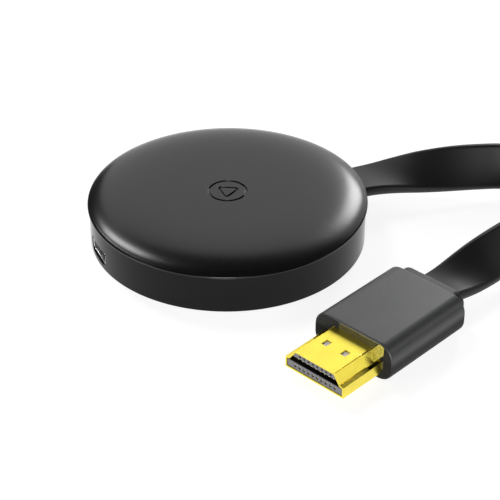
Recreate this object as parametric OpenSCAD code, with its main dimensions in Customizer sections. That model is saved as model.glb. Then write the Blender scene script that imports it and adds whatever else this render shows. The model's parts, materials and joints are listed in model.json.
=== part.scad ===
// Streaming media player: a flat round case on a short ribbon cable with a display plug.
// Origin at the middle of the case's underside, +Z up, cable leaving along +X, power port at -X.
// All sizes in millimetres.

/* [Case] */
// Diameter of the base wall
case_d = 56; // [50:0.5:68]
// Height of the whole case
case_h = 10; // [9.8:0.1:14]
// Height of the seam between base and cover
seam_h = 7.8; // [7.6:0.1:9]
// How far the cover's rim stands out past the base wall
cover_overhang = 0.3; // [0.1:0.1:0.6]
// Thickness of the base wall
wall_t = 1.4; // [1:0.1:2]
// Thickness of the base floor
floor_t = 1.2; // [0.8:0.1:1.5]
// Thickness of the cover's top
cover_t = 1.2; // [0.8:0.1:1.4]
// How late the cover starts to curve down towards its rim
dome_flatness = 6.9; // [4:0.1:10]
// How round the cover's shoulder is
dome_shoulder = 1.5; // [1:0.1:3]
// Radius of the base's bottom edge
foot_r = 0.3; // [0.2:0.1:1]
// Depth of the cover's locating lip
lip_h = 1.5; // [0.8:0.1:1.5]
// Thickness of the cover's locating lip
lip_t = 1.2; // [0.8:0.1:1.4]
// Gap between the lip and the base wall
lip_gap = 0.15; // [0.05:0.05:0.3]

/* [Mark] */
// Outer radius of the debossed ring
mark_r = 4; // [3:0.1:6]
// Reach of the play triangle's corners from the ring's middle
mark_triangle_r = 2.2; // [1.4:0.1:2.4]
// Radius of the triangle's corners
mark_corner_r = 0.8; // [0.7:0.05:1]
// Width of the grooves
mark_groove_w = 0.45; // [0.3:0.05:0.6]
// Depth of the grooves
mark_groove_h = 0.3; // [0.1:0.05:0.5]

/* [Main board] */
// Gap between the main board's edge and the base wall
board_gap = 2.1; // [1.6:0.1:2.6]
// Thickness of the main board
board_t = 0.8; // [0.6:0.1:1]
// Height of the main board's underside
board_z = 3.9; // [3.8:0.1:4.2]
// Radius of the ring on which the board screws stand
board_screw_ring_r = 20; // [19:0.5:21]
// Radius of a board screw's thread
board_screw_r = 0.8; // [0.6:0.1:1]
// Radius of a board screw's head
board_screw_head_r = 1.8; // [1.4:0.1:2]
// Height of a board screw's head
board_screw_head_h = 0.8; // [0.5:0.1:1]
// Length of a board screw under its head
board_screw_len = 3; // [2:0.1:3.2]
// Radius of the posts that carry the board
post_r = 2; // [1.6:0.1:2.2]

/* [Heat path] */
// Length of the large shield can
shield_len = 24.4; // [22:0.1:25]
// Width of the large shield can
shield_w = 17; // [15:0.1:17.5]
// Height of the large shield can
shield_h = 2.2; // [2:0.1:2.3]
// Thickness of the shield sheet
shield_sheet_t = 0.2; // [0.1:0.05:0.3]
// Radius of the heat spreader plate
spreader_r = 20; // [17:0.5:21]
// Thickness of the heat spreader plate
spreader_t = 0.6; // [0.4:0.1:0.7]
// Thickness of the upper thermal pad
top_pad_t = 0.8; // [0.5:0.1:0.9]

/* [Power port] */
// Width of the port's metal shell
port_w = 7.5; // [7.4:0.1:7.8]
// Height of the port's metal shell
port_h = 2.5; // [2.4:0.05:2.6]
// Length of the port's metal shell
port_len = 5.4; // [5:0.1:6]
// Sheet thickness of the port's shell
port_sheet_t = 0.3; // [0.2:0.05:0.35]
// Gap between the port's shell and its opening in the wall
port_gap = 0.25; // [0.15:0.05:0.4]
// How far the port's mouth sits behind the wall's outermost point
port_recess = 0.4; // [0.3:0.1:1.2]

/* [Button and light] */
// Angle of the button round the case
button_angle = 145; // [140:1:150]
// Width of the button cap
button_w = 3.4; // [2.6:0.1:4]
// Height of the button cap
button_h = 1.8; // [1.4:0.1:1.9]
// How far the cap stands out of the wall
button_proud = 0.3; // [0.3:0.05:0.5]
// Gap round the cap in its hole
button_gap = 0.15; // [0.1:0.05:0.25]
// Travel of the button
button_travel = 0.3; // [0.2:0.05:0.35]
// Angle of the status light round the case
light_angle = 157; // [155:1:159]
// Radius of the light guide
light_r = 0.6; // [0.4:0.1:0.8]

/* [Ribbon cable] */
// Width of the ribbon cable
ribbon_w = 9.6; // [8:0.1:10.4]
// Thickness of the ribbon cable
ribbon_t = 2.2; // [1.8:0.1:2.3]
// Gap round the ribbon in the case wall
ribbon_gap = 0.25; // [0.15:0.05:0.4]

/* [Plug] */
// Width of the plug's metal shell
plug_shell_w = 13.9; // [13.8:0.05:14]
// Height of the plug's metal shell
plug_shell_h = 4.45; // [4.4:0.01:4.55]
// Width of the shell's narrow top
plug_shell_top_w = 9.3; // [8.8:0.1:9.6]
// Height of the shell's wide lower part
plug_shell_low_h = 2.3; // [1.9:0.1:2.4]
// Width of the ledge between the lower part and the sloped side
plug_shell_ledge_w = 0.85; // [0.6:0.05:1]
// Sheet thickness of the plug's shell
plug_sheet_t = 0.3; // [0.2:0.05:0.35]
// Length of the plug's shell outside the housing
plug_shell_len = 10.5; // [9.5:0.1:12.5]
// Length of the plug's shell inside the housing
plug_shell_hidden = 4.6; // [3:0.1:6]
// Width of the plug housing
housing_w = 18.6; // [18:0.1:24.5]
// Height of the plug housing
housing_h = 8; // [7.8:0.1:10]
// Length of the plug housing
housing_len = 21.4; // [17:0.1:26]
// Corner radius of the plug housing
housing_r = 3.2; // [1:0.1:3.6]
// Width of the collar behind the housing
collar_w = 15; // [12:0.1:17]
// Height of the collar
collar_h = 6.8; // [5:0.1:7.2]
// Corner radius of the collar
collar_r = 2.4; // [1:0.1:2.4]
// Length of the collar
collar_len = 2.1; // [1.5:0.1:3]

/* [Hidden] */

$fn = 96;
// A cut runs this far past the face that it opens
over = 1;

case_r = case_d / 2;
inner_r = case_r - wall_t;
cover_r = case_r + cover_overhang;
dome_rise = case_h - seam_h;
dome_steps = 16;
lip_outer_r = inner_r - lip_gap;
ceiling_z = case_h - cover_t;
board_r = inner_r - board_gap;
board_top = board_z + board_t;
post_angles = [75, 195, 315];

// Board screw holes are wider than the thread by this much
board_hole_gap = 0.3;

// Middle of each part on the board, then its size
processor_at = [-7, 1];
processor_size = [13, 13, 1.1];
memory_at = [5, 1];
memory_size = [8, 12, 1];
flash_at = [4, -2];
flash_size = [11.5, 13, 1];
radio_at = [-9, -11.8];
radio_size = [8, 6, 1.6];
wireless_size = [5, 4, 0.8];
shield_at = [-2, 1];
shield_size = [shield_len, shield_w, shield_h];
chip_pad_size = [11, 11];
thermal_pad_size = [14, 12];
inductor_places = [[8, -12.4], [13, -8.4], [12.6, 9]];
inductor_size = [3, 3, 1.6];
capacitor_size = [0.6, 1.2, 0.6];
// Each row of capacitors: where it starts, the step between two, and how many
capacitor_rows = [[[-9, 12.6], 3, 6], [[-1.5, -9.2], 2.4, 4]];
crystal_at = [-16, 10];
crystal_size = [3.2, 2.5, 0.8];
antenna_angle = 115;
antenna_inset = 2;
antenna_ring_r = board_r - antenna_inset;
antenna_size = [11, 0.3, 2.4];
antenna_foot = 2;

shield_top = board_top + shield_size.z;
processor_top = board_top + processor_size.z;
chip_pad_t = shield_top - shield_sheet_t - processor_top;
spreader_z = shield_top + top_pad_t;
spreader_top = spreader_z + spreader_t;
peg_r = 0.8;
peg_ring_r = 17;
peg_gap = 0.1;
// Pegs stand this far round from the board screws
peg_turn = 60;

port_z = board_z - port_h;
port_front = -(case_r - port_recess);
port_chamfer = 0.7;
tongue_size = [4.2, 3.6, 0.6];
port_contacts = 5;
port_pitch = 0.65;
port_contact_size = [3.2, 0.3, 0.12];

// Switch, plunger and cap stand in a row from the board's edge out to the wall
button_drop = 1.2;
button_z = board_z - button_drop;
switch_size = [3, 4.6, 2.4];
switch_inset = 0.2;
switch_front = board_r - switch_inset;
plunger_r = 0.6;
plunger_len = 1.6;
plunger_proud = 0.6;
plunger_gap = 0.1;
plunger_well = 1.6;
// Height of the straight piece between the round ends of the cap
button_side = 0.02;
stem_side = 1.2;
flange_t = 0.8;
flange_gap = 0.35;
flange_w = button_w + stem_side;
flange_h = button_h + flange_t;
flange_face = sqrt(pow(inner_r, 2) - pow(flange_w / 2, 2)) - flange_gap;
light_z = button_z;
led_size = [0.8, 1.6, 2];
led_inset = 0.1;
led_front = board_r - led_inset;
light_gap = 0.05;

// Points of the ribbon cable's middle line, from the wall where it leaves the case:
// out, across, height, and how far the ribbon has rolled over
route = [
    [-3.1, 0, 4.9, 0], [2, 0, 4.9, 0], [6, -0.4, 5, 4], [10, -1.2, 5.3, 14],
    [14, -2.4, 5.7, 28], [18, -3.8, 6.1, 42], [22, -5.2, 6.4, 53], [26, -6.7, 6.6, 60],
    [30.2, -8.4, 6.7, 64], [34.2, -10.7, 6.6, 72], [37.6, -13.8, 6.4, 80],
    [39.4, -17.8, 6.2, 88], [38.6, -22.2, 6.1, 96], [35.6, -25.8, 6, 104],
    [31.6, -28.4, 6, 110], [27.2, -30.4, 6, 115], [22.8, -32.1, 6, 120],
    [18.6, -33.7, 5.9, 126], [14.6, -35.1, 5.6, 133], [10.8, -36.4, 5.2, 143],
    [7.2, -37.5, 4.7, 157], [3.9, -38.4, 4.2, 171], [0.7, -39.3, 4, 180], [-2.3, -40.4, 4, 180]
];
// Steps of roundness between two neighbouring points of the route
route_steps = 2;
ribbon_edge = 0.35;
ribbon_edge_t = 0.75;

anchor_len = 3.2;
anchor_w = 14;
anchor_h = 2.6;
anchor_front = case_r + route[0].x;
anchor_back = anchor_front - anchor_len;
anchor_z = route[0].z - anchor_h / 2;
anchor_mid = (anchor_front + anchor_back) / 2;
clamp_len = 1.8;
clamp_side_gap = 0.3;
clamp_w = anchor_w - 2 * clamp_side_gap;
clamp_t = 0.9;
clamp_screw_y = 5.8;
clamp_screw_r = 0.6;
clamp_screw_head_r = 1;
clamp_screw_head_h = 0.5;
clamp_screw_len = 4.6;
clamp_post_r = 1.1;
connector_size = [3.8, 11, 2.5];
conductor_len = 1;
conductor_size = [8, 0.8];
conductor_lift = 0.7;
conductor_z = board_top + conductor_lift;
connector_front = anchor_back - conductor_len;
board_notch_gap = 0.8;
board_notch_side = 1.5;
board_notch_x = anchor_back - board_notch_gap;
board_notch_w = anchor_w + 2 * board_notch_side;

// The plug's own frame starts at its mouth and runs back along +X to the cable
plug_heading = 23.3;
plug_len = plug_shell_len + housing_len + collar_len;
route_end = route[len(route) - 1];
shell_z = (housing_h - plug_shell_h) / 2;
shell_end = plug_shell_len + plug_shell_hidden;
insulator_recess = 0.2;
insulator_end = shell_end - 1;
lower_bar_h = 1.45;
plug_slot_h = 1.25;
plug_slot_depth = 8.5;
plug_pitch = 1.05;
upper_contacts = 9;
lower_contacts = 10;
dark_holes = 8;
contact_side = 0.36;
contact_hole_side = 0.56;
contact_recess = 0.4;
contact_tail = 2;
dark_hole_depth = 1.6;
window_size = [1.6, 1.25];
window_front = 5;
window_spread = 4.45;
rear_slit_len = 3;
rear_slit_w = 0.25;
side_slot_len = 3.2;
side_slot_w = 0.6;
side_slot_h = 1;
rear_shield_w = 15;
rear_shield_h = 5.6;
rear_wall_t = 2.7;
rear_shield_len = housing_len - plug_shell_hidden - rear_wall_t;
rear_shield_t = 0.3;
// Cuts in the shell's sheet start this far below its outer face
sheet_cut = 1.5 * plug_sheet_t;
card_len = 8;
card_w = 10.4;
lower_contact_z = shell_z + plug_sheet_t + lower_bar_h / 2;
upper_contact_z = shell_z + plug_sheet_t + lower_bar_h + plug_slot_h - contact_side / 2;

// Points along the cover's dome from its middle to its rim, for a rim radius and a rise
function dome(r, rise) = [
    for (step = [0 : dome_steps])
        let (turn = 90 * step / dome_steps)
        [r * pow(sin(turn), 2 / dome_flatness), seam_h + rise * pow(cos(turn), 2 / dome_shoulder)]
];

// Centre line of the ribbon through the route's points, in the part's frame
function curve(a, b, c, d, t) =
    b + t * ((c - a) / 2 + t * (a - 2.5 * b + 2 * c - d / 2 + t * (3 * (b - c) + d - a) / 2));
function route_point(i) =
    let (last = len(route) - 1, at = floor(i / route_steps), n = min(at, last - 1))
    curve(route[max(n - 1, 0)], route[n], route[n + 1], route[min(n + 2, last)],
          i / route_steps - n);
function unit(v) = v / norm(v);

// Outline of the ribbon: flat faces and edges that come to a soft ridge
function ribbon_outline() =
    let (w = ribbon_w / 2, t = ribbon_t / 2)
    [
        [w, 0], [w - ribbon_edge, t * ribbon_edge_t], [w - 2 * ribbon_edge, t],
        [2 * ribbon_edge - w, t], [ribbon_edge - w, t * ribbon_edge_t], [-w, 0],
        [ribbon_edge - w, -t * ribbon_edge_t], [2 * ribbon_edge - w, -t],
        [w - 2 * ribbon_edge, -t], [w - ribbon_edge, -t * ribbon_edge_t]
    ];

// Outline of the plug's metal shell, shrunk by an inset, with its underside at shell_z
function plug_outline(inset) =
    let (
        w = plug_shell_w / 2 - inset,
        neck = plug_shell_w / 2 - plug_shell_ledge_w - inset / 2,
        top = plug_shell_top_w / 2 - inset / 3,
        low = shell_z + inset,
        ledge = shell_z + plug_shell_low_h - inset,
        high = shell_z + plug_shell_h - inset
    )
    [[-w, low], [w, low], [w, ledge], [neck, ledge + plug_shell_ledge_w / 4],
     [top, high], [-top, high], [-neck, ledge + plug_shell_ledge_w / 4], [-w, ledge]];

// Rectangle with round corners, about the origin
module rounded_rectangle(w, h, r) {
    square([w - 2 * r, h], center = true);
    square([w, h - 2 * r], center = true);
    for (x = [-1, 1], y = [-1, 1])
        translate([x * (w / 2 - r), y * (h / 2 - r)]) circle(r);
}

// Triangle with round corners that reach r from the origin
module rounded_triangle(r, corner_r) {
    reach = r - corner_r;
    corners = [0, 120, 240];
    polygon([
        for (a = corners, side = [-60, 60])
            [reach * cos(a) + corner_r * cos(a + side), reach * sin(a) + corner_r * sin(a + side)]
    ]);
    for (a = corners)
        translate([reach * cos(a), reach * sin(a)]) circle(corner_r);
}

// Extrudes a shape drawn in width and height along +X, from one place to another
module along_x(from, to) {
    translate([from, 0, 0])
        rotate([90, 0, 90])
            linear_extrude(to - from) children();
}

// Turns children, drawn along +X, to an angle round the case
module round_case(angle) {
    rotate([0, 0, angle]) children();
}

// A block with its middle at a place on the board
module board_block(at, size, z) {
    translate([at.x - size.x / 2, at.y - size.y / 2, z]) cube(size);
}

// A sheet metal can with an open underside
module can(at, size, z, sheet) {
    difference() {
        board_block(at, size, z);
        board_block(at, [size.x - 2 * sheet, size.y - 2 * sheet, size.z], z - sheet);
    }
}

module board_screw_places() {
    for (a = post_angles)
        rotate([0, 0, a]) translate([board_screw_ring_r, 0, 0]) children();
}

module clamp_screw_places() {
    for (side = [-1, 1])
        translate([anchor_mid, side * clamp_screw_y, 0]) children();
}

module port_outline(grow) {
    w = port_w / 2 + grow;
    h = port_h + 2 * grow;
    polygon([
        [-w, h - grow], [w, h - grow], [w, port_chamfer],
        [w - port_chamfer, -grow], [port_chamfer - w, -grow], [-w, port_chamfer]
    ]);
}

module button_outline(grow) {
    rounded_rectangle(button_w + 2 * grow, button_h + 2 * grow,
                      (button_h - button_side) / 2 + grow);
}

module base_wall() {
    rotate_extrude()
        polygon(concat(
            [[0, 0]],
            [for (a = [-90 : 15 : 0]) [case_r - foot_r + foot_r * cos(a), foot_r + foot_r * sin(a)]],
            [[case_r, seam_h], [inner_r, seam_h], [inner_r, floor_t], [0, floor_t]]
        ));
}

module base_posts() {
    board_screw_places()
        translate([0, 0, floor_t]) cylinder(h = board_z - floor_t, r = post_r);
    clamp_screw_places()
        translate([0, 0, floor_t]) cylinder(h = anchor_z - floor_t, r = clamp_post_r);
}

module base_shell() {
    color("#1c1d1f")
    difference() {
        union() {
            base_wall();
            base_posts();
        }
        board_screw_places()
            translate([0, 0, board_top - board_screw_len])
                cylinder(h = board_screw_len, r = board_screw_r);
        clamp_screw_places()
            translate([0, 0, anchor_z + anchor_h + clamp_t - clamp_screw_len])
                cylinder(h = clamp_screw_len, r = clamp_screw_r);
        along_x(-case_r - over, -inner_r + wall_t)
            translate([0, port_z]) port_outline(port_gap);
        round_case(button_angle)
            along_x(inner_r - wall_t, case_r + over)
                translate([0, button_z]) button_outline(button_gap);
        round_case(light_angle)
            along_x(inner_r - wall_t, case_r + over)
                translate([0, light_z]) circle(light_r + light_gap);
        along_x(inner_r - wall_t, case_r + over)
            translate([0, route[0].z])
                square([ribbon_w + 2 * ribbon_gap, ribbon_t + 2 * ribbon_gap], center = true);
    }
}

module top_cover() {
    inside = dome(lip_outer_r - lip_t, ceiling_z - seam_h);
    color("#4a4b4c") {
        difference() {
            rotate_extrude()
                polygon(concat(
                    dome(cover_r, dome_rise),
                    [[lip_outer_r, seam_h], [lip_outer_r, seam_h - lip_h],
                     [lip_outer_r - lip_t, seam_h - lip_h]],
                    [for (i = [dome_steps : -1 : 0]) inside[i]]
                ));
            translate([0, 0, case_h - mark_groove_h])
                linear_extrude(mark_groove_h + over) {
                    difference() {
                        circle(mark_r);
                        circle(mark_r - mark_groove_w);
                    }
                    difference() {
                        rounded_triangle(mark_triangle_r, mark_corner_r);
                        rounded_triangle(mark_triangle_r - mark_groove_w,
                                         mark_corner_r - mark_groove_w);
                    }
                }
        }
        for (a = post_angles)
            rotate([0, 0, a + peg_turn])
                translate([peg_ring_r, 0, spreader_z])
                    cylinder(h = ceiling_z - spreader_z + cover_t / 2, r = peg_r);
    }
}

module main_board() {
    color("#1f5a3a")
    difference() {
        translate([0, 0, board_z]) cylinder(h = board_t, r = board_r);
        board_screw_places()
            translate([0, 0, board_z - over])
                cylinder(h = board_t + 2 * over, r = board_screw_r + board_hole_gap);
        translate([board_notch_x, -board_notch_w / 2, board_z - over])
            cube([board_r, board_notch_w, board_t + 2 * over]);
    }
}

module board_screws() {
    color("silver")
    board_screw_places() {
        translate([0, 0, board_top]) cylinder(h = board_screw_head_h, r = board_screw_head_r);
        translate([0, 0, board_top - board_screw_len])
            cylinder(h = board_screw_len + board_screw_head_h / 2, r = board_screw_r);
    }
}

module processor_chip() {
    color("#202225") board_block(processor_at, processor_size, board_top);
}

module memory_chip() {
    color("#26282b") board_block(memory_at, memory_size, board_top);
}

module flash_chip() {
    color("#26282b") board_block(flash_at, flash_size, board_z - flash_size.z);
}

module wireless_chip() {
    color("#26282b") board_block(radio_at, wireless_size, board_top);
}

module radio_shield() {
    color("#b9bcc0") can(radio_at, radio_size, board_top, shield_sheet_t);
}

module shield_can() {
    color("#b9bcc0") can(shield_at, shield_size, board_top, shield_sheet_t);
}

module chip_pad() {
    color("#8fa7c4")
    board_block(processor_at, [chip_pad_size.x, chip_pad_size.y, chip_pad_t], processor_top);
}

module thermal_pad() {
    color("#8fa7c4")
    board_block(shield_at, [thermal_pad_size.x, thermal_pad_size.y, top_pad_t], shield_top);
}

module heat_spreader() {
    color("#a8abae")
    difference() {
        translate([0, 0, spreader_z]) cylinder(h = spreader_t, r = spreader_r);
        for (a = post_angles)
            rotate([0, 0, a + peg_turn])
                translate([peg_ring_r, 0, spreader_z - over])
                    cylinder(h = spreader_t + 2 * over, r = peg_r + peg_gap);
    }
}

module inductors() {
    color("#4b4d50")
    for (at = inductor_places) board_block(at, inductor_size, board_top);
}

module capacitors() {
    color("#b08a5a")
    for (row = capacitor_rows, i = [0 : row[2] - 1])
        board_block([row[0].x + i * row[1], row[0].y], capacitor_size, board_top);
}

module crystal() {
    color("#c9ccd0") board_block(crystal_at, crystal_size, board_top);
}

module antenna(side) {
    rotate([0, 0, side * antenna_angle])
        translate([antenna_ring_r, -antenna_size.x / 2, board_top]) {
            cube([antenna_size.y, antenna_size.x, antenna_size.z]);
            translate([-antenna_foot, 0, 0])
                cube([antenna_foot + antenna_size.y, antenna_size.x, antenna_size.y]);
        }
}

module antenna_left() {
    color("#c8b078") antenna(1);
}

module antenna_right() {
    color("#c8b078") antenna(-1);
}

module usb_shell() {
    color("#c4c6c9")
    translate([0, 0, port_z])
        difference() {
            along_x(port_front, port_front + port_len) port_outline(0);
            along_x(port_front - over, port_front + port_len - port_sheet_t)
                port_outline(-port_sheet_t);
        }
}

module usb_tongue() {
    color("#151515")
    translate([port_front + port_len - port_sheet_t - tongue_size.x, -tongue_size.y / 2,
               port_z + port_h / 2])
        cube(tongue_size);
}

module usb_contacts() {
    color("#d8b24a")
    for (i = [0 : port_contacts - 1])
        translate([port_front + port_len - port_sheet_t - port_contact_size.x,
                   (i - (port_contacts - 1) / 2) * port_pitch - port_contact_size.y / 2,
                   port_z + port_h / 2 - port_contact_size.z])
            cube(port_contact_size);
}

module switch_body() {
    color("#303235")
    round_case(button_angle)
        difference() {
            translate([switch_front - switch_size.x, -switch_size.y / 2, board_z - switch_size.z])
                cube(switch_size);
            along_x(switch_front - plunger_well, switch_front + over)
                translate([0, button_z]) circle(plunger_r + plunger_gap);
        }
}

module switch_plunger() {
    color("#d9d4c8")
    round_case(button_angle)
        along_x(switch_front + plunger_proud - plunger_len, switch_front + plunger_proud)
            translate([0, button_z]) circle(plunger_r);
}

module button_cap() {
    color("#2b2c2e")
    round_case(button_angle) {
        along_x(switch_front + plunger_proud, flange_face)
            translate([0, button_z]) square(stem_side, center = true);
        along_x(flange_face - flange_t, flange_face)
            translate([0, button_z]) rounded_rectangle(flange_w, flange_h, stem_side / 2);
        along_x(flange_face, case_r + button_proud)
            translate([0, button_z]) button_outline(0);
    }
}

module status_led() {
    color("#e8e6da")
    round_case(light_angle)
        translate([led_front - led_size.x, -led_size.y / 2, board_z - led_size.z])
            cube(led_size);
}

module light_guide() {
    color("#e6ecef")
    round_case(light_angle)
        along_x(led_front, case_r - cover_overhang / 2)
            translate([0, light_z]) circle(light_r);
}

module cable_anchor() {
    color("#232425")
    difference() {
        translate([anchor_back, -anchor_w / 2, anchor_z]) cube([anchor_len, anchor_w, anchor_h]);
        clamp_screw_places()
            translate([0, 0, anchor_z - over]) cylinder(h = anchor_h + 2 * over, r = clamp_screw_r);
    }
}

module cable_clamp() {
    color("#9a9da1")
    difference() {
        translate([anchor_mid - clamp_len / 2, -clamp_w / 2, anchor_z + anchor_h])
            cube([clamp_len, clamp_w, clamp_t]);
        clamp_screw_places()
            translate([0, 0, anchor_z]) cylinder(h = 2 * anchor_h, r = clamp_screw_r);
    }
}

module clamp_screws() {
    color("silver")
    clamp_screw_places() {
        translate([0, 0, anchor_z + anchor_h + clamp_t])
            cylinder(h = clamp_screw_head_h, r = clamp_screw_head_r);
        translate([0, 0, anchor_z + anchor_h + clamp_t - clamp_screw_len])
            cylinder(h = clamp_screw_len + clamp_screw_head_h / 2, r = clamp_screw_r);
    }
}

module cable_connector() {
    color("#d8d2c0")
    translate([connector_front - connector_size.x, -connector_size.y / 2, board_top])
        cube(connector_size);
}

module cable_conductors() {
    color("#b87333")
    translate([connector_front, -conductor_size.x / 2, conductor_z - conductor_size.y / 2])
        cube([conductor_len, conductor_size.x, conductor_size.y]);
}

module ribbon_cable() {
    outline = ribbon_outline();
    sides = len(outline);
    rings = (len(route) - 1) * route_steps + 1;
    path = [for (i = [0 : rings - 1]) route_point(i)];
    middles = [for (p = path) [p.x + case_r, p.y, p.z]];
    points = [
        for (i = [0 : rings - 1])
            let (
                before = middles[max(i - 1, 0)],
                after = middles[min(i + 1, rings - 1)],
                flat_end = [-cos(plug_heading), -sin(plug_heading), 0],
                ahead = i == 0 ? [1, 0, 0] : i == rings - 1 ? flat_end : unit(after - before),
                across = unit(cross([0, 0, 1], ahead)),
                up = cross(ahead, across),
                roll = path[i][3],
                wide = across * cos(roll) + up * sin(roll),
                thick = cross(ahead, wide)
            )
            for (q = outline) middles[i] + wide * q.x + thick * q.y
    ];
    walls = [
        for (i = [0 : rings - 2], j = [0 : sides - 1])
            let (a = i * sides + j, b = i * sides + (j + 1) % sides)
            each [[a, b, b + sides], [a, b + sides, a + sides]]
    ];
    first_cap = [[for (j = [sides - 1 : -1 : 0]) j]];
    last_cap = [[for (j = [0 : sides - 1]) (rings - 1) * sides + j]];
    color("#1d1e1f")
    polyhedron(points, concat(first_cap, walls, last_cap));
}

// Puts children, drawn in the plug's own frame, where the ribbon ends
module at_plug() {
    translate([case_r + route_end.x, route_end.y, 0])
        rotate([0, 0, plug_heading])
            translate([-plug_len, 0, 0]) children();
}

module plug_collar() {
    color("#2a2b2c")
    at_plug()
        along_x(plug_len - collar_len, plug_len)
            translate([0, route_end.z]) rounded_rectangle(collar_w, collar_h, collar_r);
}

module plug_housing() {
    color("#3a3b3c")
    at_plug()
        difference() {
            along_x(plug_shell_len, plug_shell_len + housing_len)
                translate([0, housing_h / 2]) rounded_rectangle(housing_w, housing_h, housing_r);
            along_x(plug_shell_len - over, shell_end) polygon(plug_outline(0));
            along_x(shell_end, shell_end + rear_shield_len)
                translate([0, housing_h / 2])
                    square([rear_shield_w, rear_shield_h], center = true);
        }
}

module plug_windows() {
    for (side = [-1, 1])
        translate([window_front, (side * window_spread - window_size.y) / 2,
                   shell_z + plug_shell_h - sheet_cut])
            cube([window_size.x, window_size.y, plug_shell_h]);
}

module plug_rear_slits() {
    for (side = [-1, 1]) {
        translate([plug_shell_len - rear_slit_len,
                   side * plug_shell_top_w / 2 - rear_slit_w / 2,
                   shell_z + plug_shell_h - sheet_cut])
            cube([rear_slit_len, rear_slit_w, plug_shell_h]);
        translate([plug_shell_len - side_slot_len,
                   side * (plug_shell_w / 2 - plug_shell_ledge_w / 2) - side_slot_w / 2,
                   shell_z + plug_shell_low_h - sheet_cut])
            cube([side_slot_len, side_slot_w, side_slot_h]);
    }
}

module plug_shell() {
    color("#f2d64b")
    at_plug()
        difference() {
            along_x(0, shell_end) polygon(plug_outline(0));
            along_x(-over, shell_end + over) polygon(plug_outline(plug_sheet_t));
            plug_windows();
            plug_rear_slits();
        }
}

// Runs children at each place of a row of contacts across the plug
module plug_row(count) {
    for (i = [0 : count - 1])
        translate([0, (i - (count - 1) / 2) * plug_pitch, 0]) children();
}

// A square bar along the plug, centred on a height
module plug_bar(from, to, side, z) {
    translate([from, -side / 2, z - side / 2]) cube([to - from, side, side]);
}

module plug_insulator() {
    slot_low = shell_z + plug_sheet_t + lower_bar_h;
    dark_z = (slot_low + plug_slot_h + shell_z + plug_shell_h - plug_sheet_t) / 2;
    color("#9a9a9e")
    at_plug()
        difference() {
            along_x(insulator_recess, insulator_end) polygon(plug_outline(plug_sheet_t));
            translate([insulator_recess - over, -plug_shell_w / 2, slot_low])
                cube([plug_slot_depth + over, plug_shell_w, plug_slot_h]);
            plug_row(lower_contacts) {
                plug_bar(0, plug_slot_depth, contact_hole_side, lower_contact_z);
                plug_bar(plug_slot_depth, insulator_end + over, contact_side, lower_contact_z);
            }
            plug_row(upper_contacts)
                plug_bar(plug_slot_depth, insulator_end + over, contact_side, upper_contact_z);
            plug_row(dark_holes)
                plug_bar(0, insulator_recess + dark_hole_depth, contact_hole_side, dark_z);
        }
}

module plug_contacts_upper() {
    color("#d9b24f")
    at_plug()
        plug_row(upper_contacts)
            plug_bar(contact_recess, insulator_end + contact_tail, contact_side, upper_contact_z);
}

module plug_contacts_lower() {
    color("#d9b24f")
    at_plug()
        plug_row(lower_contacts)
            plug_bar(contact_recess, insulator_end + contact_tail, contact_side, lower_contact_z);
}

module plug_card() {
    low = lower_contact_z + contact_side / 2;
    high = upper_contact_z - contact_side / 2;
    color("#1f5a3a")
    at_plug()
        translate([insulator_end, -card_w / 2, low]) cube([card_len, card_w, high - low]);
}

module plug_rear_shield() {
    color("#b9bcc0")
    at_plug()
        difference() {
            along_x(shell_end, shell_end + rear_shield_len)
                translate([0, housing_h / 2])
                    square([rear_shield_w, rear_shield_h], center = true);
            along_x(shell_end - over, shell_end + rear_shield_len - rear_shield_t)
                translate([0, housing_h / 2])
                    square([rear_shield_w - 2 * rear_shield_t, rear_shield_h - 2 * rear_shield_t],
                           center = true);
        }
}

base_shell();
top_cover();
main_board();
board_screws();
processor_chip();
memory_chip();
flash_chip();
wireless_chip();
radio_shield();
shield_can();
chip_pad();
thermal_pad();
heat_spreader();
inductors();
capacitors();
crystal();
antenna_left();
antenna_right();
usb_shell();
usb_tongue();
usb_contacts();
switch_body();
switch_plunger();
button_cap();
status_led();
light_guide();
cable_anchor();
cable_clamp();
clamp_screws();
cable_connector();
cable_conductors();
ribbon_cable();
plug_collar();
plug_housing();
plug_shell();
plug_insulator();
plug_contacts_upper();
plug_contacts_lower();
plug_card();
plug_rear_shield();
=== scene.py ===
"""Looks of a round streaming media player, built round its packed CAD frame."""

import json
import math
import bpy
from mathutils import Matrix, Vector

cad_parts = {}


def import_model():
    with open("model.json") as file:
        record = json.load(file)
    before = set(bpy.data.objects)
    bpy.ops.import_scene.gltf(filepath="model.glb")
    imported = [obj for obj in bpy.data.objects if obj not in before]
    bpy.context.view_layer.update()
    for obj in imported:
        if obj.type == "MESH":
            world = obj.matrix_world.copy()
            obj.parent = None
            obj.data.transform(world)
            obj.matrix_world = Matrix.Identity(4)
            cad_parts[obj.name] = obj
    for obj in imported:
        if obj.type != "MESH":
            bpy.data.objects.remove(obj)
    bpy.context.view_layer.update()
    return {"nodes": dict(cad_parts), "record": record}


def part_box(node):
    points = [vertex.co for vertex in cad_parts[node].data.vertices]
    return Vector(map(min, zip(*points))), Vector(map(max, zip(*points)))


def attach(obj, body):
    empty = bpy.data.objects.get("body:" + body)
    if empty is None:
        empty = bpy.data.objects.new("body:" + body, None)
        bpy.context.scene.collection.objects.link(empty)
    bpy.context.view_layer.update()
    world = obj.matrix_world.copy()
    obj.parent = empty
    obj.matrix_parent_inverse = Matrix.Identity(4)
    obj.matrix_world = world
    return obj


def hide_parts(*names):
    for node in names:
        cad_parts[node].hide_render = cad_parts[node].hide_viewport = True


bl_info = {
    "name": "Streaming Media Player",
    "version": (1, 0, 0),
    "blender": (4, 5, 0),
    "location": "View3D > Sidebar > Player",
    "description": "Builds the player's case, ribbon cable and display plug round the CAD frame",
    "category": "Object",
}

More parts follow.
